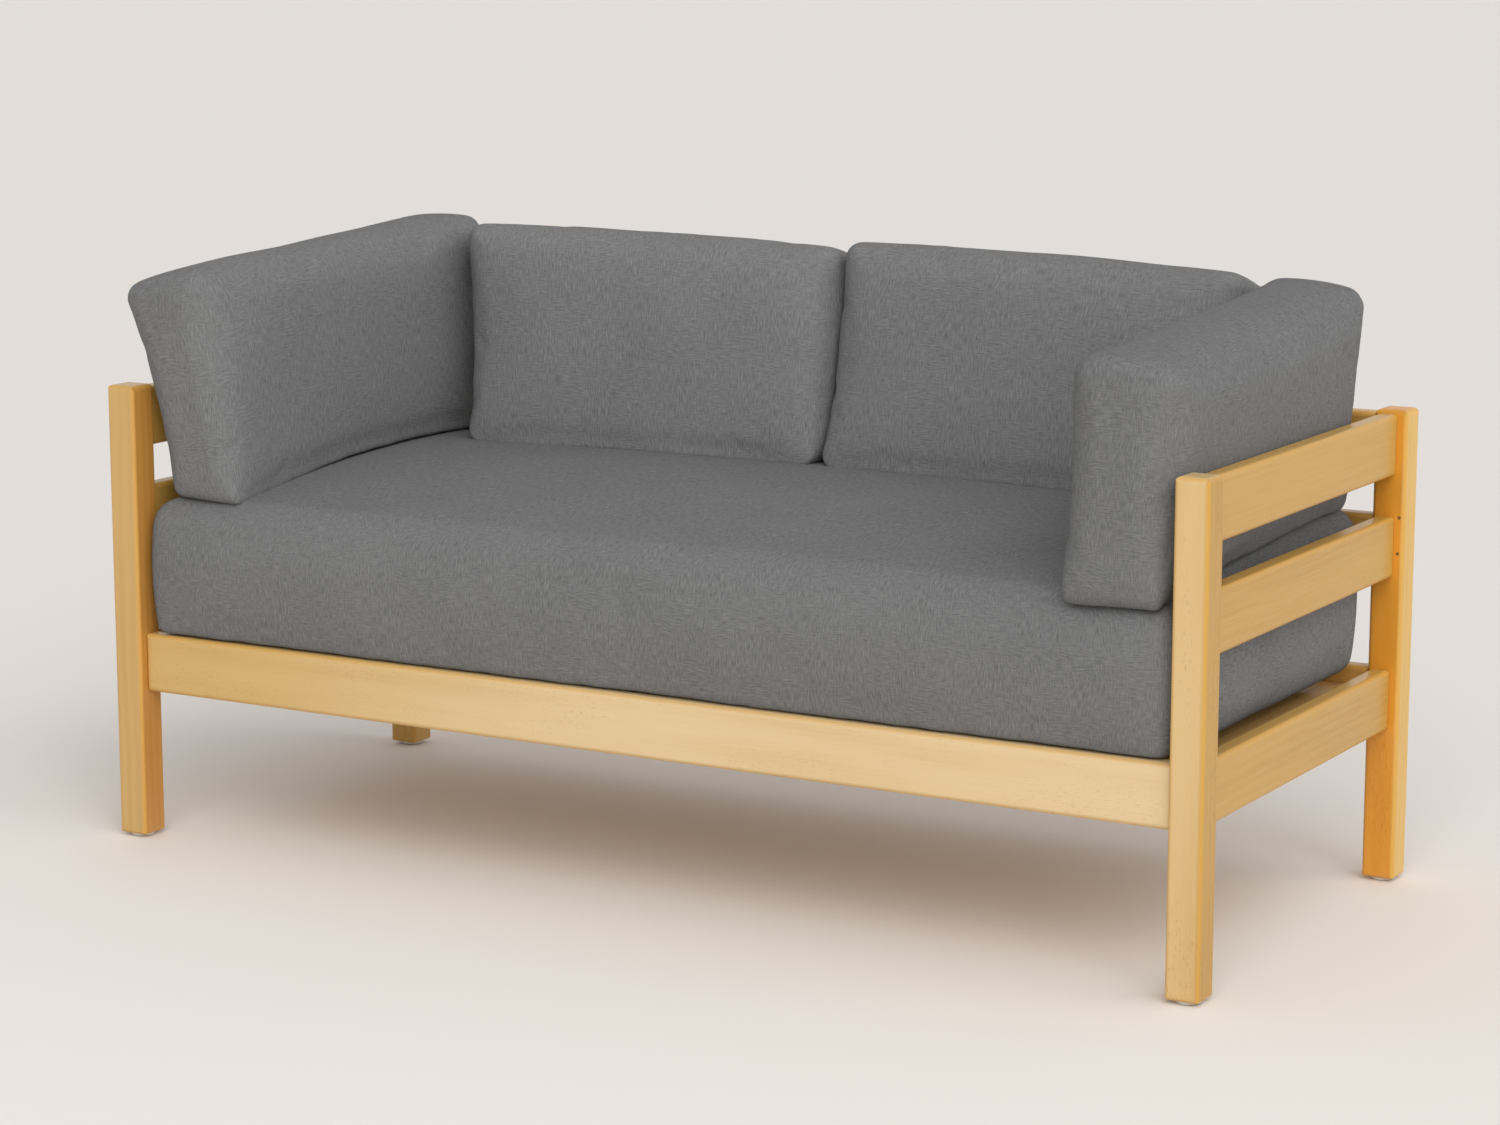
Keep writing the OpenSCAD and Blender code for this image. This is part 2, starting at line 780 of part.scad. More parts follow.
LEFT_ARM = [90, [left_arm_front_lean, left_arm_rear_lean],
    arm_middle(left_arm_inset, left_arm_length), left_arm_length, left_arm_height,
    [-left_arm_front_rake, left_arm_rear_rake], left_arm_rise];
RIGHT_ARM = [-90, [right_arm_lean, right_arm_lean],
    -arm_middle(right_arm_inset, right_arm_length), right_arm_length, right_arm_height,
    [0, 0], -right_arm_rise];
LEFT_BACK = [0, [back_lean, back_lean], (left_back_end + left_back_start) / 2,
    left_back_start - left_back_end, back_pad_height,
    [-end_follow * tan(left_arm_rear_lean), 0], -left_back_fall];
RIGHT_BACK = [0, [back_lean, back_lean], (right_back_end + right_back_start) / 2,
    right_back_end - right_back_start, back_pad_height,
    [0, end_follow * tan(right_arm_lean)], -right_back_fall];

module left_arm_cushion() { pad_cover(LEFT_ARM); }
module left_arm_foam() { pad_foam(LEFT_ARM); }
module right_arm_cushion() { pad_cover(RIGHT_ARM); }
module right_arm_foam() { pad_foam(RIGHT_ARM); }
module left_back_cushion() { pad_cover(LEFT_BACK); }
module left_back_foam() { pad_foam(LEFT_BACK); }
module right_back_cushion() { pad_cover(RIGHT_BACK); }
module right_back_foam() { pad_foam(RIGHT_BACK); }

module front_left_post() { post(false, false, [seat_rail_top]); }
module front_right_post() { post(true, false, [seat_rail_top]); }
module rear_left_post() { post(false, true, rail_tops); }
module rear_right_post() { post(true, true, rail_tops); }

module left_top_rail() { end_rail(false, top_rail_top); }
module left_middle_rail() { end_rail(false, middle_rail_top); }
module left_seat_rail() { end_rail(false, seat_rail_top); }
module right_top_rail() { end_rail(true, top_rail_top); }
module right_middle_rail() { end_rail(true, middle_rail_top); }
module right_seat_rail() { end_rail(true, seat_rail_top); }
module back_top_rail() { long_rail(true, top_rail_top, false); }
module back_middle_rail() { long_rail(true, middle_rail_top, false); }
module back_seat_rail() { long_rail(true, seat_rail_top, true); }
module front_seat_rail() { long_rail(false, seat_rail_top, true); }

module front_cleat() { cleat(false); }
module back_cleat() { cleat(true); }

module left_end_dowels() { end_dowels(false); }
module right_end_dowels() { end_dowels(true); }
module back_dowels() { long_dowels(true, rail_tops); }
module front_dowels() { long_dowels(false, [seat_rail_top]); }

module front_left_glide() { glide(false, false); }
module front_right_glide() { glide(true, false); }
module rear_left_glide() { glide(false, true); }
module rear_right_glide() { glide(true, true); }

front_left_post();
front_right_post();
rear_left_post();
rear_right_post();
left_top_rail();
left_middle_rail();
left_seat_rail();
right_top_rail();
right_middle_rail();
right_seat_rail();
back_top_rail();
back_middle_rail();
back_seat_rail();
front_seat_rail();
front_cleat();
back_cleat();
left_end_dowels();
right_end_dowels();
back_dowels();
front_dowels();
slat_screws();
cleat_screws();
front_left_glide();
front_right_glide();
rear_left_glide();
rear_right_glide();
glide_nails();
seat_cushion();
seat_foam();
left_arm_cushion();
left_arm_foam();
right_arm_cushion();
right_arm_foam();
left_back_cushion();
left_back_foam();
right_back_cushion();
right_back_foam();
for (i = [1:slat_count])
    slat(i - 1);
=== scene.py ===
import math

import bpy
import numpy as np
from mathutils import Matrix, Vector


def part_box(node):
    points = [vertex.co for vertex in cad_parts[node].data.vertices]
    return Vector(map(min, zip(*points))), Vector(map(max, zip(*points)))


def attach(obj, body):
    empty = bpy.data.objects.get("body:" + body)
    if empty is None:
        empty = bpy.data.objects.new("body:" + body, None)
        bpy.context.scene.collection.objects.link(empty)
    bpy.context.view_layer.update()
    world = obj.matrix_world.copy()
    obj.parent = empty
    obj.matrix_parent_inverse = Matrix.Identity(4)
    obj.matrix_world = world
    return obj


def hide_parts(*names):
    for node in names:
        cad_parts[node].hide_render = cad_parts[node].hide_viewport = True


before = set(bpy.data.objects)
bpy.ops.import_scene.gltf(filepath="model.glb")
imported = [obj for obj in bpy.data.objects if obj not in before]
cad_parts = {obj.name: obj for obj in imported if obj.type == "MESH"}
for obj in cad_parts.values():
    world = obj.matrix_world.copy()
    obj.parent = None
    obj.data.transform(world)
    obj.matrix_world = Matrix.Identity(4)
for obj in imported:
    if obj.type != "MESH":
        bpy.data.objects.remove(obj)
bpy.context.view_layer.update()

# Camera. It stands in front of the sofa's right end at chest height, with a long lens, and
# looks a little down, about where the photograph was taken from.
CAMERA_TILT, CAMERA_TURN = 0.1813, 0.5258
scene = bpy.context.scene
scene.view_settings.view_transform = "Standard"
camera = bpy.data.objects.new("camera", bpy.data.cameras.new("camera"))
camera.data.sensor_width = 36.0
camera.data.lens = 89.14
camera.location = (2.4306, -4.1859, 1.2872)
camera.rotation_euler = (math.pi / 2 - CAMERA_TILT, 0.0, CAMERA_TURN)
scene.collection.objects.link(camera)
scene.camera = camera

# Studio. A plain pale floor that runs out of sight, an even pale surround, two broad far
# lamps, from the front and from the right, and a near one in front of the right end.
FLOOR_COLOUR = (0.885, 0.85, 0.82, 1.0)
SURROUND_COLOUR = (0.80, 0.78, 0.765, 1.0)
SURROUND_LIGHT = 0.50
FLOOR_REACH = 60.0


def node(tree, kind, inputs=None, **settings):
    """Adds a node. Each input takes a plain value, or a socket that it is joined to."""
    made = tree.nodes.new("ShaderNode" + kind)
    for name, value in settings.items():
        setattr(made, name, value)
    for name, value in (inputs or {}).items():
        if isinstance(value, bpy.types.NodeSocket):
            tree.links.new(value, made.inputs[name])
        else:
            made.inputs[name].default_value = value
    return made


def new_finish(name, **shader_values):
    """A node material with a Principled shader whose plain values are set on its own sockets."""
    finish = bpy.data.materials.new(name)
    finish.use_nodes = True
    shader = finish.node_tree.nodes["Principled BSDF"]
    for socket, value in shader_values.items():
        shader.inputs[socket.replace("_", " ")].default_value = value
    return finish, finish.node_tree, shader


def lamp(name, strength, spread, pitch, turn, colour, kind="SUN"):
    """A broad lamp. pitch is its tilt from straight down, turn its angle about the upright."""
    data = bpy.data.lights.new(name, kind)
    data.energy, data.color = strength, colour
    if kind == "SUN":
        data.angle = math.radians(spread)
    made = bpy.data.objects.new(name, data)
    made.rotation_euler = (math.radians(pitch), 0.0, math.radians(turn))
    scene.collection.objects.link(made)
    return made


floor_mesh = bpy.data.meshes.new("floor")
floor_mesh.from_pydata(
    [(x * FLOOR_REACH, y * FLOOR_REACH, 0.0) for x, y in ((-1, -1), (1, -1), (1, 1), (-1, 1))],
    [], [(0, 1, 2, 3)])
floor = bpy.data.objects.new("floor", floor_mesh)
scene.collection.objects.link(floor)
floor_finish, _, _ = new_finish("floor_paint", Base_Color=FLOOR_COLOUR, Roughness=0.7,
                                Specular_IOR_Level=0.2)
floor_mesh.materials.append(floor_finish)

scene.world = bpy.data.worlds.new("surround")
scene.world.use_nodes = True
world = scene.world.node_tree
rays = node(world, "LightPath")
seen = node(world, "Math", {0: rays.outputs["Is Camera Ray"], 1: rays.outputs["Is Glossy Ray"]},
            operation="MAXIMUM")
surround_light = world.nodes["Background"]
surround_light.inputs["Color"].default_value = (1.0, 0.99, 0.98, 1.0)
surround_light.inputs["Strength"].default_value = SURROUND_LIGHT
surround_seen = node(world, "Background", {"Color": SURROUND_COLOUR, "Strength": 1.0})
surround = node(world, "MixShader", {0: seen.outputs[0], 1: surround_light.outputs[0],
                                     2: surround_seen.outputs[0]})
world.links.new(surround.outputs[0], world.nodes["World Output"].inputs["Surface"])
lamp("key_lamp", 1.07, 50.0, 54.0, 33.0, (1.0, 0.985, 0.96))
lamp("fill_lamp", 0.90, 70.0, 58.0, 80.0, (1.0, 0.99, 0.98))
near_lamp = lamp("near_lamp", 24.0, 0.0, 64.0, 26.0, (1.0, 0.985, 0.96), "AREA")
near_lamp.location = (1.7, -3.3, 2.5)
near_lamp.data.size = 1.8

# Frame. Square beech posts with softly rounded tops, and broad beech rails dowelled
# between them, all under a clear satin lacquer. The grain runs along each piece.
RAIL_TONES = ((0.75, 0.57, 0.325, 1.0), (0.645, 0.44, 0.20, 1.0))
POST_TONES = ((0.68, 0.475, 0.213, 1.0), (0.565, 0.35, 0.127, 1.0))
# Painted warm shade: the same beech darker and more orange on the side rails and the rear left post,
# for the shade and warm bounce light on them.
END_SHADED_TONES = ((0.55, 0.320, 0.068, 1.0), (0.44, 0.232, 0.038, 1.0))
# Painted shade: the front left post darker and warmer, as less light falls on the left end.
LEFT_SHADED_TONES = ((0.60, 0.38, 0.135, 1.0), (0.485, 0.272, 0.080, 1.0))
# Painted warm shade on the back rails, which stand in shade.
BACK_SHADED_TONES = ((0.64, 0.36, 0.09, 1.0), (0.52, 0.27, 0.06, 1.0))
# Painted warm shade on the rear right post.
WARM_SHADED_TONES = ((0.74, 0.46, 0.11, 1.0), (0.63, 0.36, 0.07, 1.0))
FLECK = (0.36, 0.17, 0.05, 1.0)
KNOT, KNOT_RIM, KNOT_CORE = (0.16, 0.07, 0.02, 1.0), 0.0030, 0.0014
# Painted shade on the rounded arrises: a deep golden band mixed in along every edge of a piece.
ARRIS_SHADE, ARRIS_SHADE_WIDTH, ARRIS_SHADE_SHARE = (0.62, 0.32, 0.045, 1.0), 0.007, 0.75
TURNS = {"x": (0.0, 0.0, 0.0), "y": (0.0, 0.0, -math.pi / 2), "z": (0.0, math.pi / 2, 0.0)}


def new_group(name, takes, gives):
    """A shader node group. takes and gives name its sockets and their kinds."""
    made = bpy.data.node_groups.new(name, "ShaderNodeTree")
    for socket, kind in takes.items():
        made.interface.new_socket(socket, in_out="INPUT", socket_type="NodeSocket" + kind)
    for socket, kind in gives.items():
        made.interface.new_socket(socket, in_out="OUTPUT", socket_type="NodeSocket" + kind)
    return made, made.nodes.new("NodeGroupInput").outputs, made.nodes.new("NodeGroupOutput").inputs


def maths(tree, operation, first, second, third=0.5):
    """One Math node, given as the socket that it puts out. Only some operations use third."""
    return node(tree, "Math", {0: first, 1: second, 2: third}, operation=operation).outputs[0]


def scaled(tree, vector, scale):
    """A place multiplied axis by axis, so that a pattern is drawn out along the grain."""
    return node(tree, "Mapping", {"Vector": vector, "Scale": scale}).outputs[0]


def stretch(tree, value, low, high, to_low=0.0, to_high=1.0):
    """A value brought smoothly from low..high to to_low..to_high."""
    return node(tree, "MapRange", {"Value": value, "From Min": low, "From Max": high,
                                   "To Min": to_low, "To Max": to_high},
                interpolation_type="SMOOTHSTEP").outputs[0]


def two_tones(tree, share, first, second):
    """A mix of two colours, given as the socket that it puts out."""
    return node(tree, "Mix", {0: share, 6: first, 7: second}, data_type="RGBA").outputs[2]


def bumped(tree, shader, height, strength, distance):
    """Raises a finish by a height that is worked out in its tree."""
    bump = node(tree, "Bump", {"Height": height, "Strength": strength, "Distance": distance})
    tree.links.new(bump.outputs[0], shader.inputs["Normal"])


def dress(part, finish):
    """Gives a CAD piece its one material."""
    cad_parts[part].data.materials.clear()
    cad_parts[part].data.materials.append(finish)


def make_beech_figure():
    """Beech whose grain runs along X. Growth rings are a wave round an axis beside the piece,
    fibres are a noise drawn out along X, and rays are short dark flecks of a finer noise."""
    group, takes, gives = new_group(
        "beech_figure",
        {"Place": "Vector", "Pale": "Color", "Deep": "Color", "Figure": "Float", "Flecks": "Float"},
        {"Color": "Color", "Roughness": "Float", "Height": "Float"})
    place = takes["Place"]
    slow = node(group, "TexNoise", {"Vector": scaled(group, place, (1.6, 16.0, 16.0)),
                                    "Scale": 1.0, "Detail": 3.0}).outputs[0]
    rings = node(group, "TexWave", {"Vector": scaled(group, place, (0.22, 1.0, 1.0)), "Scale": 24.0,
                                    "Distortion": 8.0, "Detail": 2.0, "Detail Scale": 0.3},
                 wave_type="RINGS", rings_direction="X").outputs["Fac"]
    fibres = node(group, "TexNoise", {"Vector": scaled(group, place, (9.0, 420.0, 420.0)),
                                      "Scale": 1.0, "Detail": 3.0, "Roughness": 0.6}).outputs[0]
    fine = node(group, "TexNoise", {"Vector": scaled(group, place, (120.0, 820.0, 820.0)),
                                    "Scale": 1.0, "Detail": 1.0}).outputs[0]
    patch = node(group, "TexNoise", {"Vector": scaled(group, place, (5.0, 30.0, 30.0)),
                                     "Scale": 1.0, "Detail": 1.0}).outputs[0]
    flecks = maths(group, "MULTIPLY", stretch(group, fine, 0.60, 0.70),
                   stretch(group, patch, 0.42, 0.62))
    ringed = maths(group, "MULTIPLY", rings, takes["Figure"])
    tone = maths(group, "MULTIPLY_ADD", fibres, 0.38,
                 maths(group, "MULTIPLY_ADD", slow, 1.1, maths(group, "ADD", ringed, -0.55)))
    body = two_tones(group, stretch(group, tone, 0.0, 1.0), takes["Pale"], takes["Deep"])
    fleck_share = maths(group, "MULTIPLY", flecks, takes["Flecks"])
    group.links.new(two_tones(group, fleck_share, body, FLECK), gives["Color"])
    group.links.new(stretch(group, fibres, 0.2, 0.8, 0.36, 0.52), gives["Roughness"])
    group.links.new(maths(group, "MULTIPLY_ADD", flecks, -0.8,
                          maths(group, "MULTIPLY_ADD", rings, 0.3, fibres)), gives["Height"])
    return group


def make_arris_mask():
    """How near a place is to an arris of its piece: of the three depths under the faces of the
    piece's box the second smallest is nought on an arris. 1 on the arris, 0 from Width inwards."""
    group, takes, gives = new_group(
        "arris_mask", {"Place": "Vector", "Centre": "Vector", "Half": "Vector", "Width": "Float"},
        {"Mask": "Float"})
    off = node(group, "VectorMath", {0: takes["Place"], 1: takes["Centre"]}, operation="SUBTRACT")
    away = node(group, "VectorMath", {0: off.outputs[0]}, operation="ABSOLUTE")
    deep = node(group, "VectorMath", {0: takes["Half"], 1: away.outputs[0]}, operation="SUBTRACT")
    x, y, z = node(group, "SeparateXYZ", {0: deep.outputs[0]}).outputs
    lowest = maths(group, "MINIMUM", maths(group, "MINIMUM", x, y), z)
    highest = maths(group, "MAXIMUM", maths(group, "MAXIMUM", x, y), z)
    total = maths(group, "ADD", maths(group, "ADD", x, y), z)
    second = maths(group, "SUBTRACT", maths(group, "SUBTRACT", total, lowest), highest)
    mask = node(group, "MapRange", {"Value": second, "From Min": takes["Width"],
                                    "From Max": 0.0}, interpolation_type="SMOOTHSTEP")
    group.links.new(mask.outputs[0], gives["Mask"])
    return group


beech_figure = make_beech_figure()
arris_mask = make_arris_mask()


def beech(part, along, shift, pith, tones, figure=0.2, flecks=0.5, coat=0.35, painted_shade=None,
          knots=()):
    """Gives one CAD piece its beech. The pattern is rotated so that its X runs along the piece,
    moved by shift along it, and its rings centred at pith, across the piece from its middle.
    The argument after coat, when given, is two places along X and a tint that the wood is
    multiplied by from the first to the second: painted shade, darker and warmer where less light
    falls on the piece. knots gives the middles of its pin knots."""
    low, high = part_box(part)
    centre, half = (low + high) / 2, (high - low) / 2
    finish, tree, shader = new_finish("beech_" + part, Coat_Weight=coat, Coat_Roughness=0.22,
                                      Specular_IOR_Level=0.4)
    place = node(tree, "TexCoord").outputs["Object"]
    middle = {"x": centre, "y": (centre.y, -centre.x, centre.z),
              "z": (centre.z, centre.y, -centre.x)}[along]
    run = node(tree, "Mapping", {"Vector": place, "Rotation": TURNS[along], "Location": (
        shift - middle[0], pith[0] - middle[1], pith[1] - middle[2])})
    wood = node(tree, "Group", {"Place": run.outputs[0], "Pale": tones[0], "Deep": tones[1],
                                "Figure": figure, "Flecks": flecks}, node_tree=beech_figure)
    arris_shade = node(tree, "Group", {"Place": place, "Centre": centre, "Half": half,
                                "Width": ARRIS_SHADE_WIDTH}, node_tree=arris_mask)
    colour = wood.outputs["Color"]
    # Painted shade: the wood multiplied by a darker, warmer tint between two places along X, for the
    # shade on one face or one end of a piece.
    if painted_shade:
        first, second, shade_tint = painted_shade
        across = node(tree, "SeparateXYZ", {0: place}).outputs[0]
        colour = node(tree, "Mix", {0: stretch(tree, across, first, second), 6: colour, 7: shade_tint},
                      data_type="RGBA", blend_type="MULTIPLY").outputs[2]
    for knot in knots:
        away = node(tree, "VectorMath", {0: place, 1: knot}, operation="DISTANCE").outputs["Value"]
        colour = two_tones(tree, stretch(tree, away, KNOT_RIM, KNOT_CORE), colour, KNOT)
    # Painted shade along the arrises: the deep golden band mixed in near every edge.
    share = maths(tree, "MULTIPLY", arris_shade.outputs[0], ARRIS_SHADE_SHARE)
    tree.links.new(two_tones(tree, share, colour, ARRIS_SHADE), shader.inputs["Base Color"])
    tree.links.new(wood.outputs["Roughness"], shader.inputs["Roughness"])
    bumped(tree, shader, wood.outputs["Height"], 0.35, 0.0003)
    dress(part, finish)


# Painted shade: the front left post's inner side face and the front right post's outer side face
# darker and warmer than their fronts.
beech("front_left_post", "z", 0.3, (0.05, 0.035), LEFT_SHADED_TONES, flecks=0.35,
      painted_shade=(-0.761, -0.754, (0.94, 0.66, 0.28, 1.0)))
beech("front_right_post", "z", 1.7, (0.11, 0.02), POST_TONES, flecks=0.45,
      painted_shade=(0.793, 0.799, (0.77, 0.64, 0.29, 1.0)))
beech("rear_left_post", "z", 3.1, (0.04, -0.08), END_SHADED_TONES)
# Painted shade: the rear right post darker and warmer on all but its outer side face.
beech("rear_right_post", "z", 4.3, (-0.07, 0.06), WARM_SHADED_TONES, flecks=0.3,
      painted_shade=(0.799, 0.793, (0.98, 0.67, 0.24, 1.0)),
      knots=((0.793, 0.296, 0.484), (0.792, 0.296, 0.437)))
for number, side in enumerate(("left", "right")):
    beech(side + "_top_rail", "y", 5.0 + number, (0.05, 0.11), END_SHADED_TONES, 0.12, 0.3)
    beech(side + "_middle_rail", "y", 7.4 + number, (-0.03, 0.14), END_SHADED_TONES, 0.10, 0.3)
    beech(side + "_seat_rail", "y", 9.1 + number, (0.03, 0.07), END_SHADED_TONES, 0.16, 0.35)
beech("back_top_rail", "x", 2.2, (0.09, 0.05), BACK_SHADED_TONES)
beech("back_middle_rail", "x", 4.9, (0.07, -0.09), BACK_SHADED_TONES)
beech("back_seat_rail", "x", 6.6, (0.10, 0.03), BACK_SHADED_TONES)
# Painted shade: the front seat rail darker and warmer towards its left end, where less light falls.
beech("front_seat_rail", "x", 8.8, (0.16, 0.05), RAIL_TONES, 0.15, 0.25,
      painted_shade=(0.1, -0.72, (0.84, 0.73, 0.46, 1.0)))

# Seat deck. Slats of plainer beech are screwed down on a cleat behind each long rail;
# only a clear seal is on them. The frame's dowels are of the same wood.
SEALED_TONES = ((0.68, 0.42, 0.16, 1.0), (0.56, 0.32, 0.10, 1.0))
deck_parts = [("slat_%d" % (i + 1), "y") for i in range(13)]
deck_parts += [(name, "x") for name in ("front_cleat", "back_cleat", "left_end_dowels",
                                        "right_end_dowels", "back_dowels", "front_dowels")]
for number, (part, along) in enumerate(deck_parts):
    beech(part, along, 11.0 + 1.3 * number, (0.04 + 0.013 * (number % 5), 0.06), SEALED_TONES,
          figure=0.4, flecks=0.8, coat=0.0)

# Screws and nails. Zinc-plated steel countersunk screws hold the slats and cleats; a
# plain steel nail holds each glide.
ZINC, BARE_STEEL = (0.62, 0.62, 0.58), (0.40, 0.39, 0.37)
for part, tone, dull in (("slat_screws", ZINC, 0.34), ("cleat_screws", ZINC, 0.34),
                         ("glide_nails", BARE_STEEL, 0.42)):
    finish, tree, shader = new_finish("steel_" + part, Metallic=1.0)
    mottle = node(tree, "TexNoise", {"Vector": node(tree, "TexCoord").outputs["Object"],
                                     "Scale": 900.0, "Detail": 2.0}).outputs[0]
    tree.links.new(stretch(tree, mottle, 0.3, 0.7, dull - 0.08, dull + 0.08),
                   shader.inputs["Roughness"])
    tree.links.new(two_tones(tree, mottle, (*tone, 1.0), (*(0.8 * c for c in tone), 1.0)),
                   shader.inputs["Base Color"])
    dress(part, finish)

# Glides. A milky moulded-plastic disc under each post, scuffed, and darker towards the
# bottom, where it meets the floor.
MILKY, SCUFFED, DARK_FOOT_TONE = (0.74, 0.72, 0.67, 1.0), (0.60, 0.57, 0.51, 1.0), (0.16, 0.13, 0.10, 1.0)
for part in ("front_left_glide", "front_right_glide", "rear_left_glide", "rear_right_glide"):
    finish, tree, shader = new_finish("glide_" + part, Specular_IOR_Level=0.5,
                                      Subsurface_Weight=0.25, Subsurface_Scale=0.003)
    place = node(tree, "TexCoord").outputs["Object"]
    scuffs = node(tree, "TexNoise", {"Vector": place, "Scale": 420.0, "Detail": 4.0}).outputs[0]
    height = node(tree, "SeparateXYZ", {0: place}).outputs[2]
    # Darker towards the bottom: the lowest 2.2 mm blends towards a dark brown.
    dark_foot = maths(tree, "MULTIPLY", stretch(tree, height, 0.0022, 0.0), 0.8)
    plastic = two_tones(tree, scuffs, MILKY, SCUFFED)
    tree.links.new(two_tones(tree, dark_foot, plastic, DARK_FOOT_TONE), shader.inputs["Base Color"])
    tree.links.new(stretch(tree, scuffs, 0.3, 0.7, 0.32, 0.5), shader.inputs["Roughness"])
    bumped(tree, shader, scuffs, 0.3, 0.0002)
    dress(part, finish)

# Seat cushion. One long boxed cushion: a top and a bottom panel of crinkled linen cloth
# sewn to a border strip, filled tight with a foam core. It lies on the slats, and its
# front edge on the front rail. The cover is run as cloth, puffed up from inside.
SEAT_LENGTH, SEAT_WIDTH, SEAT_MIDDLE = 1.492, 0.605, -0.0245
SEAT_THICKNESS, SEAT_CELL = 0.200, 0.0105
SEAT_CORNER, SEAT_TOP_EDGE, SEAT_FOOT_EDGE = 0.022, 0.038, 0.012
SEAT_BULGE, SEAT_DRAW = 0.006, 0.003
# Heights: the slats' top, the lower seam, and how far over the slats the upper seam lies
DECK_TOP, SEAT_LOW_SEAM = 0.259, 0.2845
SEAT_FRONT_RISE, SEAT_REAR_RISE = 0.209, 0.243
# The crown over that seam in the middle and at the ends, and what the cloth will swell
SEAT_CROWN, SEAT_END_CROWN = 0.026, 0.008
SEAT_SWELL, SEAT_SWELL_REACH = 0.0025, 0.08
# The flat underside: how far it hangs, and where and how softly it rolls up at the rim
SEAT_HANG, SEAT_ROLL, SEAT_ROLL_FRONT, SEAT_ROLL_BACK = 0.025, 0.060, -0.292, 0.278
# The room that the posts and rails leave it
SEAT_END_ROOM, SEAT_FRONT_ROOM, SEAT_BACK_ROOM = 0.7550, -0.3385, 0.296
# The least gap to what a cushion touches, and how softly two surfaces are eased together
HAIR, EASE = 0.0008, 0.0008
# The cloth run: how firmly the filling holds the cover, the frames run and the air inside
SOFT_HOLD, CLOTH_FRAMES, AIR = 0.08, 20, 2.0
# How high over its seam the cover has come to move freely
SEAT_STILL = 0.030


def smooth(t):
    """Nought below 0, one above 1, and 3 t squared less 2 t cubed between."""
    t = np.clip(t, 0.0, 1.0)
    return t * t * (3.0 - 2.0 * t)


def fall(t):
    """One less t squared, and never below nought."""
    return np.maximum(0.0, 1.0 - t * t)


def mix(first, second, share):
    """The value that lies at share of the way from first to second."""
    return first + (second - first) * share


def seat_seam_height(y):
    """Height of the seat cushion's upper seam plane, which rises from front to rear."""
    return DECK_TOP + mix(SEAT_FRONT_RISE, SEAT_REAR_RISE, (y - SEAT_MIDDLE) / SEAT_WIDTH + 0.5)


def seat_crown(x, y):
    """How far the seat stands over that plane: a parabola from front to rear, lower at the
    ends, where the arm cushions press."""
    t = (y - SEAT_MIDDLE) / SEAT_WIDTH + 0.5
    most = mix(SEAT_CROWN, SEAT_END_CROWN, (2.0 * x / SEAT_LENGTH) ** 2)
    return 4.0 * most * t * (1.0 - t)


def seat_surface(x, y):
    """Height of the seat's crowned top, less what its rounded edge drops."""
    gap = np.minimum(SEAT_WIDTH / 2 - np.abs(y - SEAT_MIDDLE), SEAT_LENGTH / 2 - np.abs(x))
    _, drop = rounded_edge(np.maximum(gap, 0.0), SEAT_TOP_EDGE)
    return seat_seam_height(y) + seat_crown(x, y) - drop


def lower_of(first, second, ease):
    """The lower of two heights, eased where they cross: less ease times the log of the sum of
    both exponentials."""
    return np.minimum(first, second) - ease * np.log1p(np.exp(-np.abs(first - second) / ease))


def rounded_edge(gap, edge):
    """Where cloth lies that is gap away from a seam, when the square edge there is rounded to
    the radius edge: (how far it draws back, how far it stays short of the other panel's plane)."""
    left = np.maximum(edge - gap, 0.0)
    reach = np.sqrt(left * left + edge * edge)
    return np.where(gap < edge, edge - left * edge / reach, gap), edge - edge * edge / reach


def round_corners(x, y, length, width, corner, gap, inset):
    """Takes places on rectangles that lie gap inside the seam to rings with round corners that
    lie inset inside it. A square corner is drawn on an arc: its diagonal goes to 45 degrees."""
    x = x * (length / 2 - inset) / np.maximum(length / 2 - gap, 1e-6)
    y = y * np.where(gap > width / 2 - 1e-4, 1.0,
                     (width / 2 - inset) / np.maximum(width / 2 - gap, 1e-6))
    r = np.maximum(corner - inset, 1e-4)
    over_x = np.abs(x) - (length / 2 - inset - r)
    over_y = np.abs(y) - (width / 2 - inset - r)
    in_corner = (over_x > 0.0) & (over_y > 0.0)
    most = np.maximum(np.maximum(over_x, over_y), 1e-9)
    turn = math.pi / 4 * np.minimum(over_x, over_y) / most
    far, near = most * np.cos(turn), most * np.sin(turn)
    round_x = np.where(over_x >= over_y, far, near) + (length / 2 - inset - r)
    round_y = np.where(over_x >= over_y, near, far) + (width / 2 - inset - r)
    return (np.where(in_corner, np.sign(x) * round_x, x),
            np.where(in_corner, np.sign(y) * round_y, y))


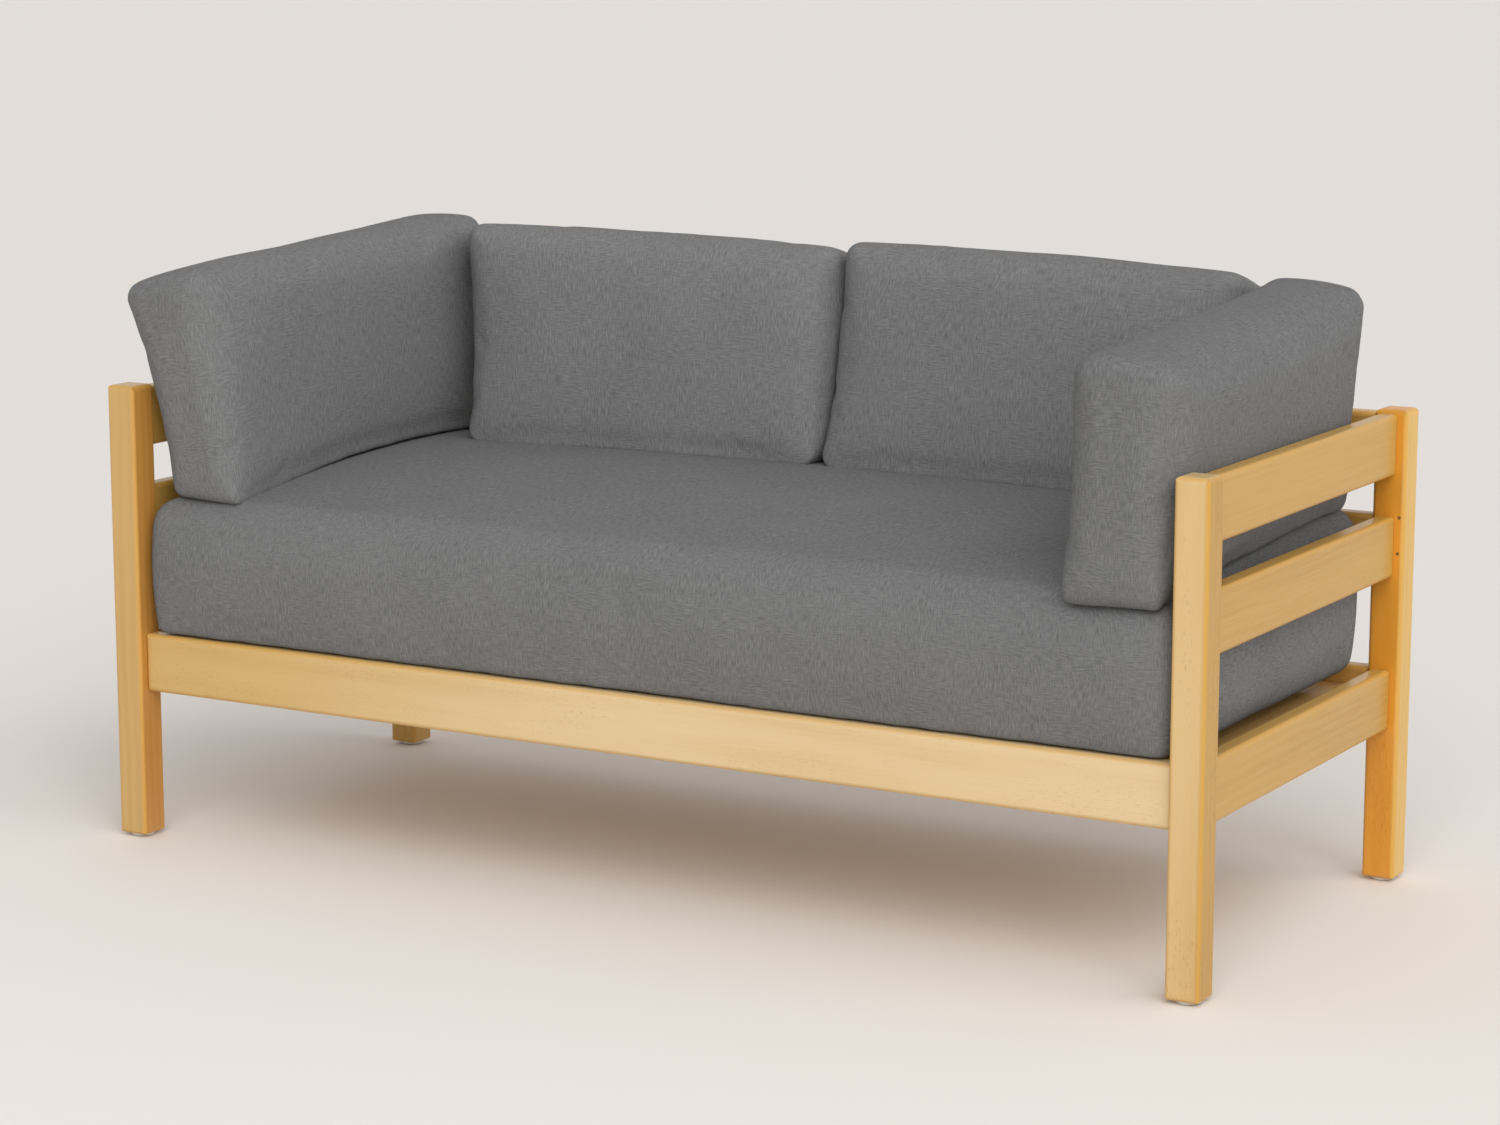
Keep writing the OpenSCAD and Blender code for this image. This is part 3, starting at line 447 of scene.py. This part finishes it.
def boxed_cover(name, length, width, thickness, cell, corner, edge, low_face, high_face, bulge,
                draw):
    """A cushion cover in its own axes, as one closed grid: two panels in x and y, length by
    width, and a border between them that is thickness high. Each point is a function of its
    place on its panel. edge gives the seams' rounding at a place, low_face and high_face how far
    the panels stand out, bulge how far the border stands out, and draw how far the sides pull in
    between the corners. The border's part of the cloth map runs on from the upper panel's.
    Returns the object, its vertices and their distances from a seam."""
    nx, ny, nz = (max(4, round(size / cell)) for size in (length, width, thickness))
    gx, gy = np.meshgrid(np.linspace(-length / 2, length / 2, nx + 1),
                         np.linspace(-width / 2, width / 2, ny + 1), indexing="ij")
    gx, gy = gx.ravel(), gy.ravel()
    grid = np.arange((nx + 1) * (ny + 1)).reshape(nx + 1, ny + 1)
    around = np.concatenate([grid[:-1, 0], grid[-1, :-1], grid[:0:-1, -1], grid[0, :0:-1]])
    count = len(grid.ravel())

    def drawn(x, y, share):
        return (x - draw * np.sign(x) * np.abs(2 * x / length) ** 6
                * fall(y / (width / 2 - corner)) * share,
                y - draw * np.sign(y) * np.abs(2 * y / width) ** 6
                * fall(x / (length / 2 - corner)) * share)

    gap = np.minimum(length / 2 - np.abs(gx), width / 2 - np.abs(gy))
    panels = []
    for upper in (False, True):
        inset, short = rounded_edge(gap, edge(gx, gy, upper))
        x, y = round_corners(gx, gy, length, width, corner, gap, inset)
        x, y = drawn(x, y, fall(2 * gap / width))
        rise = (high_face if upper else low_face)(x, y, gap) - short
        z = thickness + rise if upper else -rise
        panels.append(np.column_stack([x, y, z]))
    levels = np.repeat(np.arange(1, nz) / nz, len(around))
    bx, by = np.tile(gx[around], nz - 1), np.tile(gy[around], nz - 1)
    off = np.minimum(levels, 1.0 - levels) * thickness
    short, inset = rounded_edge(off, edge(bx, by, levels > 0.5))
    out = bulge * fall(2.0 * levels - 1.0) - inset
    x, y = round_corners(bx, by, length, width, corner, 0.0, -out)
    x, y = drawn(x, y, 1.0)
    z = np.where(levels > 0.5, thickness - short, short)
    points = np.vstack([*panels, np.column_stack([x, y, z])])
    gaps = np.concatenate([gap, gap, off])

    rings = np.vstack([around, 2 * count + np.arange((nz - 1) * len(around)).reshape(nz - 1, -1),
                       around + count])
    quads = np.stack([grid[:-1, :-1], grid[1:, :-1], grid[1:, 1:], grid[:-1, 1:]], -1).reshape(-1, 4)
    nexts = np.roll(rings, -1, 1)
    border = np.stack([rings[:-1], nexts[:-1], nexts[1:], rings[1:]], -1).reshape(-1, 4)
    flat = np.column_stack([gx, gy])
    beyond = np.repeat([(0.0, -1.0), (1.0, 0.0), (0.0, 1.0), (-1.0, 0.0)], (nx, ny, nx, ny), axis=0)
    down = np.arange(nz, -1, -1)[:, None, None] * thickness / nz
    starts = flat[around] + beyond * down
    ends = flat[np.roll(around, -1)] + beyond * down
    border_map = np.stack([starts[:-1], ends[:-1], ends[1:], starts[1:]], 2).reshape(-1, 2)
    faces = np.vstack([quads[:, ::-1], quads + count, border])
    cloth_map = np.vstack([flat[quads[:, ::-1].ravel()] + 5.0, flat[quads.ravel()], border_map])
    mesh = bpy.data.meshes.new(name)
    mesh.from_pydata(points.tolist(), [], faces.tolist())
    mesh.uv_layers.new(name="cloth_map").data.foreach_set("uv", cloth_map.astype(np.float32).ravel())
    mesh.attributes.new("seam_gap", "FLOAT", "POINT").data.foreach_set(
        "value", gaps.astype(np.float32))
    piece = bpy.data.objects.new(name, mesh)
    scene.collection.objects.link(piece)
    return piece, points, gaps


def read_points(mesh):
    """The vertices of a mesh as an array of rows x, y, z."""
    points = np.empty(3 * len(mesh.vertices), np.float32)
    mesh.vertices.foreach_get("co", points)
    return points.reshape(-1, 3).astype(float)


def write_points(piece, points):
    """Puts an array of rows x, y, z back as a piece's vertices."""
    piece.data.vertices.foreach_set("co", points.astype(np.float32).ravel())
    piece.data.update()


def puff(piece, points, held, most):
    """Runs the cover as cloth with air inside and a little spare cloth, and returns how far each
    point moved. held marks what the foam holds fast; the rest is held softly. Moves are eased
    so that none is more than most."""
    piece.vertex_groups.new(name="held")
    for chosen, weight in ((held, 1.0), (~held, SOFT_HOLD)):
        piece.vertex_groups["held"].add(np.flatnonzero(chosen).tolist(), weight, "REPLACE")
    cloth = piece.modifiers.new("cloth", "CLOTH")
    cloth.point_cache.frame_start, cloth.point_cache.frame_end = 1, CLOTH_FRAMES
    cloth.settings.quality = 4
    cloth.settings.mass = 0.25
    cloth.settings.use_pressure = True
    cloth.settings.uniform_pressure_force = AIR
    cloth.settings.shrink_min = -0.008
    cloth.settings.effector_weights.gravity = 0.0
    cloth.settings.vertex_group_mass = "held"
    cloth.settings.pin_stiffness = 1.0
    for number in range(1, CLOTH_FRAMES + 1):
        scene.frame_set(number)
    settled_mesh = piece.evaluated_get(bpy.context.evaluated_depsgraph_get()).data
    moved = read_points(settled_mesh) - points
    piece.modifiers.remove(cloth)
    piece.vertex_groups.remove(piece.vertex_groups["held"])
    scene.frame_set(1)
    size = np.linalg.norm(moved, axis=1, keepdims=True)
    return moved * (most * np.tanh(size / most) / np.maximum(size, 1e-9))


def ripples(points, wave, seed):
    """A soft irregular surface from -1 to 1: nine plane waves of about the given wavelength,
    in directions and at phases drawn from the seed."""
    draws = np.random.default_rng(seed)
    ways = draws.normal(size=(9, 3))
    ways /= np.linalg.norm(ways, axis=1, keepdims=True)
    counts = 2.0 * math.pi / wave * draws.uniform(0.6, 1.5, 9)
    return np.sin(points @ (ways * counts[:, None]).T + draws.uniform(0.0, 6.28, 9)).mean(1) * 1.6


def wrinkled(points, normals, gaps, reach, fine, broad, sink=0.0):
    """Crinkles within about reach of the seams and slow waves all over. fine and broad are each
    a height, a wavelength and a seed; sink takes the whole surface inwards."""
    near_seam = np.exp(-(gaps / reach) ** 2)
    return points + normals * (fine[0] * ripples(points, *fine[1:]) * near_seam
                               + broad[0] * ripples(points, *broad[1:]) - sink)[:, None]


def finer(piece):
    """Subdivides the cover once and keeps the result as its mesh. Returns the new vertices,
    their normals and their distances from a seam."""
    piece.modifiers.new("finer", "SUBSURF").levels = 1
    piece.modifiers["finer"].render_levels = 1
    mesh = bpy.data.meshes.new_from_object(
        piece.evaluated_get(bpy.context.evaluated_depsgraph_get()))
    piece.modifiers.clear()
    piece.data = mesh
    mesh.name = piece.name
    gaps = np.empty(len(mesh.vertices), np.float32)
    mesh.attributes["seam_gap"].data.foreach_get("value", gaps)
    normals = np.empty(3 * len(mesh.vertices), np.float32)
    mesh.vertex_normals.foreach_get("vector", normals)
    return read_points(mesh), normals.reshape(-1, 3).astype(float), gaps.astype(float)


def make_linen():
    """Crinkled linen cloth, drawn on the panels' own flat map in metres. Warp and weft are fine
    waves, slubs are noises drawn out along each of them, both bent by a slower noise, grit is
    the fuzz of single fibres, and the yarn's shade changes slowly from place to place."""
    group, takes, gives = new_group("linen_cloth", {"Map": "Vector", "Tone": "Color"},
                                    {"Color": "Color", "Roughness": "Float", "Height": "Float"})
    bend = node(group, "TexNoise", {"Vector": takes["Map"], "Scale": 13.0, "Detail": 1.0})
    lean = node(group, "VectorMath", {0: bend.outputs["Color"], 1: (0.5, 0.5, 0.5)},
                operation="SUBTRACT")
    bent = node(group, "VectorMath", {0: lean.outputs[0], 1: (0.018, 0.018, 0.0),
                                      2: takes["Map"]}, operation="MULTIPLY_ADD").outputs[0]
    upright = node(group, "TexNoise", {"Vector": scaled(group, bent, (480.0, 80.0, 1.0)),
                                       "Scale": 1.0, "Detail": 1.0, "Roughness": 0.5}).outputs[0]
    level = node(group, "TexNoise", {"Vector": scaled(group, bent, (80.0, 480.0, 1.0)),
                                     "Scale": 1.0, "Detail": 1.0, "Roughness": 0.5}).outputs[0]
    where = node(group, "TexNoise", {"Vector": takes["Map"], "Scale": 22.0,
                                     "Detail": 2.0}).outputs[0]
    slubs = node(group, "Mix", {0: stretch(group, where, 0.38, 0.66, 0.1, 0.8), 2: upright,
                                3: level}, data_type="FLOAT").outputs[0]
    warp = node(group, "TexWave", {"Vector": bent, "Scale": 110.0, "Distortion": 2.5,
                                   "Detail": 1.0}, bands_direction="X").outputs["Fac"]
    weft = node(group, "TexWave", {"Vector": bent, "Scale": 110.0, "Distortion": 2.5,
                                   "Detail": 1.0}, bands_direction="Y").outputs["Fac"]
    threads = maths(group, "MAXIMUM", warp, weft)
    shade = node(group, "TexNoise", {"Vector": takes["Map"], "Scale": 7.0, "Detail": 3.0}).outputs[0]
    grit = node(group, "TexNoise", {"Vector": takes["Map"], "Scale": 620.0, "Detail": 1.0}).outputs[0]
    light = 0.0
    for pattern, weight in ((threads, 0.12), (grit, 0.5), (shade, 0.20), (slubs, 1.2)):
        light = maths(group, "MULTIPLY_ADD", pattern, weight, light)
    toned = node(group, "VectorMath", {0: takes["Tone"], 1: light}, operation="MULTIPLY")
    group.links.new(toned.outputs[0], gives["Color"])
    group.links.new(stretch(group, slubs, 0.3, 0.7, 0.92, 0.78), gives["Roughness"])
    group.links.new(maths(group, "MULTIPLY_ADD", threads, 0.25, slubs), gives["Height"])
    return group


linen_cloth = make_linen()
LINEN_GREY = (0.164, 0.167, 0.170)


def linen(piece, shift, shade):
    """Covers a cushion with the cloth. shift moves the pattern, so that no two panels match,
    and shade is painted light: it scales the cloth's grey by how much light falls on this cushion."""
    finish, tree, shader = new_finish("linen_" + piece.name, Specular_IOR_Level=0.15)
    cloth_map = node(tree, "UVMap", uv_map="cloth_map").outputs[0]
    moved = node(tree, "Mapping", {"Vector": cloth_map, "Location": (*shift, 0.0)})
    # Painted light: the cloth's grey scaled by this cushion's shade.
    tone = (*(shade * c for c in LINEN_GREY), 1.0)
    cloth = node(tree, "Group", {"Map": moved.outputs[0], "Tone": tone}, node_tree=linen_cloth)
    tree.links.new(cloth.outputs["Color"], shader.inputs["Base Color"])
    tree.links.new(cloth.outputs["Roughness"], shader.inputs["Roughness"])
    bumped(tree, shader, cloth.outputs["Height"], 0.6, 0.0009)
    piece.data.materials.append(finish)
    piece.data.polygons.foreach_set("use_smooth", np.ones(len(piece.data.polygons), bool))


def seat_edge(x, y, upper):
    """A broad soft edge round the top, and a tight one at the bottom, where it lies on wood."""
    return np.where(upper, SEAT_TOP_EDGE, SEAT_FOOT_EDGE)


def seat_top(x, y, gap):
    """How far the top stands over its seams: the crown, less what the cloth will swell."""
    return seat_crown(x, y + SEAT_MIDDLE) - SEAT_SWELL * smooth(gap / SEAT_SWELL_REACH)


def seat_bottom(x, y, gap):
    """How far the bottom stands under its seam: flat on the slats, rolled up at the rim."""
    front = (y + SEAT_MIDDLE - SEAT_ROLL_FRONT) / SEAT_ROLL
    back = (SEAT_ROLL_BACK - y - SEAT_MIDDLE) / SEAT_ROLL
    end = (SEAT_LENGTH / 2 - np.abs(x)) / SEAT_ROLL
    return SEAT_HANG * smooth(np.minimum(np.minimum(front, back), end))


seat, seat_points, _ = boxed_cover(
    "seat_cover", SEAT_LENGTH, SEAT_WIDTH, SEAT_THICKNESS, SEAT_CELL, SEAT_CORNER, seat_edge,
    seat_bottom, seat_top, SEAT_BULGE, SEAT_DRAW)
seat_moves = puff(seat, seat_points, seat_points[:, 2] < 0.0, most=0.006)
write_points(seat, seat_points + seat_moves * smooth(seat_points[:, 2:] / SEAT_STILL))
points = wrinkled(*finer(seat), reach=0.030, fine=(0.0008, 0.055, 3), broad=(0.0012, 0.26, 5),
                  sink=0.0008)
plan_y = points[:, 1] + SEAT_MIDDLE
share = points[:, 2] / SEAT_THICKNESS
height = np.where(share > 1.0, seat_seam_height(plan_y) + points[:, 2] - SEAT_THICKNESS,
                  np.where(share < 0.0, SEAT_LOW_SEAM + points[:, 2],
                           mix(SEAT_LOW_SEAM, seat_seam_height(plan_y), share)))
under = SEAT_LOW_SEAM - seat_bottom(points[:, 0], points[:, 1], 0.0)
height = np.maximum(lower_of(height, seat_surface(points[:, 0], plan_y), EASE), under)
write_points(seat, np.column_stack([np.clip(points[:, 0], -SEAT_END_ROOM, SEAT_END_ROOM),
                                    np.clip(plan_y, SEAT_FRONT_ROOM, SEAT_BACK_ROOM), height]))
# Painted light: the seat cushion's cloth grey scaled by 0.97 for the light that falls on it.
linen(seat, (0.0, 0.0), 0.97)
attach(seat, "seat_cushion")
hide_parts("seat_cushion", "seat_foam")

# Arm and back cushions. Four smaller boxed cushions in the same cloth stand on the seat
# and lean on the top rails. The left arm cushion leans out more at its front end.
PAD_THICKNESS, PAD_CELL, PAD_CROWN, PAD_BULGE = 0.135, 0.0068, 0.012, 0.005
PAD_CORNER, PAD_TOP_EDGE, PAD_FOOT_EDGE = 0.020, 0.022, 0.006
# How fast the edges grow rounder from foot to top
PAD_EDGE_GAIN = 1.3
# The faces: how far they stand out, how far in from the seam that takes, and how steeply
PAD_FACE, PAD_FACE_REACH, PAD_FACE_STEEP = 0.0105, 0.150, 2.4
# The border before the cloth swells, and the room that the cushion's ends have
PAD_BORDER_BULGE, PAD_DRAW, PAD_END_ROOM = 0.0045, 0.002, 0.0065
# About how far up its own face a cushion's foot lies, from where the search for it starts
PAD_FOOT_GUESS = 0.284
# The share of its height from the foot up within which the cover is held back
PAD_STILL = 0.12
SOFA_WIDTH, SOFA_DEPTH = 1.600, 0.680
# The round inner edge of the top rails: how far in and how high its middle is, and its radius
EDGE_IN, EDGE_HEIGHT, EDGE_RADIUS = 0.033, 0.611, 0.007


def lean_at(pad, u):
    """The cushion's lean at u along it, in radians: straight from one end's to the other's."""
    return np.radians(mix(*pad["leans"], (u - pad["middle"]) / pad["length"] + 0.5))


def placed(pad, u, w, z):
    """From a cushion's own axes, along it, up its face and inwards, to the sofa's. The plane of
    its outer seam is the crown and a hair's breadth away from the top rail's rounded edge."""
    lean = lean_at(pad, u)
    inwards = (EDGE_IN * np.cos(lean) + EDGE_HEIGHT * np.sin(lean) + EDGE_RADIUS + HAIR
               + PAD_CROWN + z)
    half = (SOFA_DEPTH if pad["turn"] == 0 else SOFA_WIDTH) / 2
    out = half - np.cos(lean) * inwards + np.sin(lean) * w
    c, s = math.cos(math.radians(pad["turn"])), math.sin(math.radians(pad["turn"]))
    return c * u - s * out, s * u + c * out, np.sin(lean) * inwards + np.cos(lean) * w


def resting(pad, u, w, z):
    """How far up its face a place is when it is slid down or up to lie on the seat cushion."""
    for _ in range(4):
        x, y, height = placed(pad, u, w, z)
        w = w + (seat_surface(x, y) + HAIR - height) / np.cos(lean_at(pad, u))
    return w


def settled(pad, x, y, z):
    """A cushion that stands on y = 0 with its outer seam at z = 0, brought to its place. Its
    foot follows the seat cushion, its top keeps its own line, and it is slimmer at the foot."""
    foot = resting(pad, pad["middle"], PAD_FOOT_GUESS, PAD_THICKNESS)
    inside = np.clip(z, 0.0, PAD_THICKNESS)
    sag = -PAD_BULGE * fall(2.0 * inside / PAD_THICKNESS - 1.0)
    low = resting(pad, pad["middle"] + x, foot + sag, z) - foot
    along = x / pad["length"] + 0.5
    high = pad["height"] + pad["rise"] * (along - 0.5) + 4.0 * pad["arch"] * along * (1.0 - along)
    u = pad["middle"] + x + y * mix(*pad["rakes"], along)
    share = np.maximum((y - sag) / (pad["height"] - sag), 0.0)
    slim = mix(*pad["slim"], along) * smooth(1.0 - share)
    z = np.where(z > 0.0, z * (1.0 - slim), z)
    return np.column_stack(placed(pad, u, foot + mix(low, high, share), z))


# Each cushion's lean in degrees at its two ends, where its middle lies along its rail, its
# length and height, how much its ends rake for each metre up, how much its top rises along it
# and arches, how much slimmer its two ends are at the foot, and its shade: painted light that
# scales its cloth's grey for how much light falls on that cushion.
PADS = {
    "left_arm": dict(turn=90, leans=(13.5, 2.5), middle=-0.0095, length=0.597, height=0.295,
                     rakes=(-0.080, 0.040), rise=0.074, arch=0.004, slim=(0.26, 0.0),
                     shade=1.01),
    "right_arm": dict(turn=-90, leans=(4.5, 4.5), middle=0.0435, length=0.583, height=0.274,
                      rakes=(0.0, 0.0), rise=-0.040, arch=0.0, slim=(0.10, 0.10),
                      shade=0.93),
    "left_back": dict(turn=0, leans=(17.0, 17.0), middle=-0.2664, length=0.557, height=0.307,
                      rakes=(-0.147, 0.0), rise=-0.006, arch=0.006, slim=(0.20, 0.20),
                      shade=1.10),
    "right_back": dict(turn=0, leans=(17.0, 17.0), middle=0.3041, length=0.5521, height=0.307,
                       rakes=(0.0, 0.0708), rise=-0.014, arch=0.006, slim=(0.20, 0.20),
                       shade=1.04),
}


def pad_face(x, y, gap):
    """How far a face stands out: steep from the seam, then nearly flat."""
    return PAD_FACE * (1.0 - (1.0 - np.clip(gap / PAD_FACE_REACH, 0.0, 1.0)) ** PAD_FACE_STEEP)


def pad_edge(height):
    """The rounding of the edges of a cushion of that height: tight at its foot, where it stands,
    and soft at its top."""
    def edge(x, y, upper):
        return mix(PAD_FOOT_EDGE, PAD_TOP_EDGE, smooth(PAD_EDGE_GAIN * (y / height + 0.5)))

    return edge


for number, (name, pad) in enumerate(PADS.items()):
    piece, flat, _ = boxed_cover(
        name + "_cover", pad["length"], pad["height"], PAD_THICKNESS, PAD_CELL, PAD_CORNER,
        pad_edge(pad["height"]), pad_face, pad_face, PAD_BORDER_BULGE, PAD_DRAW)
    moves = puff(piece, flat, np.zeros(len(flat), bool), most=0.005)
    free = smooth((flat[:, 1:2] / pad["height"] + 0.5) / PAD_STILL)
    write_points(piece, flat + moves * free)
    points = wrinkled(*finer(piece), reach=0.026, fine=(0.0008, 0.045, 11 + number),
                      broad=(0.0014, 0.17, 21 + number))
    x, y, z = points.T
    reach = pad["length"] / 2 + PAD_END_ROOM
    write_points(piece, settled(pad, np.clip(x, -reach, reach), y + pad["height"] / 2,
                                -lower_of(-z, PAD_CROWN, EASE)))
    # Painted light: each cushion's cloth grey scaled by its shade in the table.
    linen(piece, (1.7 * number + 2.0, 0.9 * number), pad["shade"])
    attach(piece, name + "_cushion")
    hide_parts(name + "_cushion", name + "_foam")
